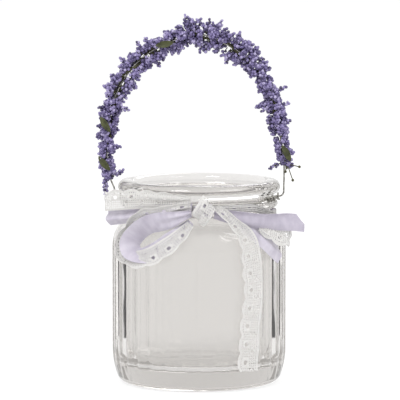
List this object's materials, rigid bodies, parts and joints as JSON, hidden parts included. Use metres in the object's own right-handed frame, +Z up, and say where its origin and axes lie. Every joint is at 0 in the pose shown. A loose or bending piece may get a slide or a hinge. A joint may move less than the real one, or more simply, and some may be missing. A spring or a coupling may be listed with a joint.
{
  "type": "jar lantern",
  "caption": "Ribbed clear glass jar lantern with a wire bail handle wound in artificial lavender and a satin and lace ribbon bow tied round the neck",
  "frame": {"origin": "centre of the jar's flat underside, on the surface that the jar stands on", "axes": "+Z up, the bow faces -Y, +X to the viewer's right; the handle swings about X"},
  "size_m": [0.0953, 0.0859, 0.1682],
  "materials": {
    "glass": "clear polished pressed glass, very faintly grey",
    "wire": "bare galvanised wire, dull silver",
    "florets": "small purple foam beads with a flocked matte surface",
    "stem": "dark olive paper-covered stem wire",
    "leaf": "olive green moulded leaf, matte",
    "satin": "pale lilac satin ribbon with a soft sheen",
    "lace": "off-white cotton lace ribbon with eyelets and a scalloped edge"
  },
  "bodies": {
    "jar": {"glass_jar": "glass", "neck_wire": "wire", "wire_wrap": "wire", "satin_band": "satin", "satin_knot": "satin", "satin_left_loop": "satin", "satin_left_tail": "satin", "satin_right_tail": "satin", "satin_right_strand": "satin", "lace_band": "lace", "lace_left_loop": "lace", "lace_left_tail": "lace", "lace_right_end": "lace", "lace_long_tail": "lace"},
    "bail": {"bail_wire": "wire", "garland_stem": "stem", "stem_ends": "stem", "hanging_sprig": "florets", "sprig_1": "florets", "sprig_2": "florets", "sprig_3": "florets", "sprig_4": "florets", "sprig_5": "florets", "sprig_6": "florets", "sprig_7": "florets", "sprig_8": "florets", "sprig_9": "florets", "sprig_10": "florets", "sprig_11": "florets", "sprig_12": "florets", "sprig_13": "florets", "sprig_14": "florets", "sprig_15": "florets", "sprig_16": "florets", "leaf_1": "leaf", "leaf_2": "leaf", "leaf_3": "leaf", "leaf_4": "leaf"}
  },
  "joints": [
    {"name": "bail_swing", "type": "hinge", "parent": "jar", "child": "bail", "pos_m": [0, 0, 0.0853], "axis": [1, 0, 0], "range_deg": [-110, 60]}
  ]
}
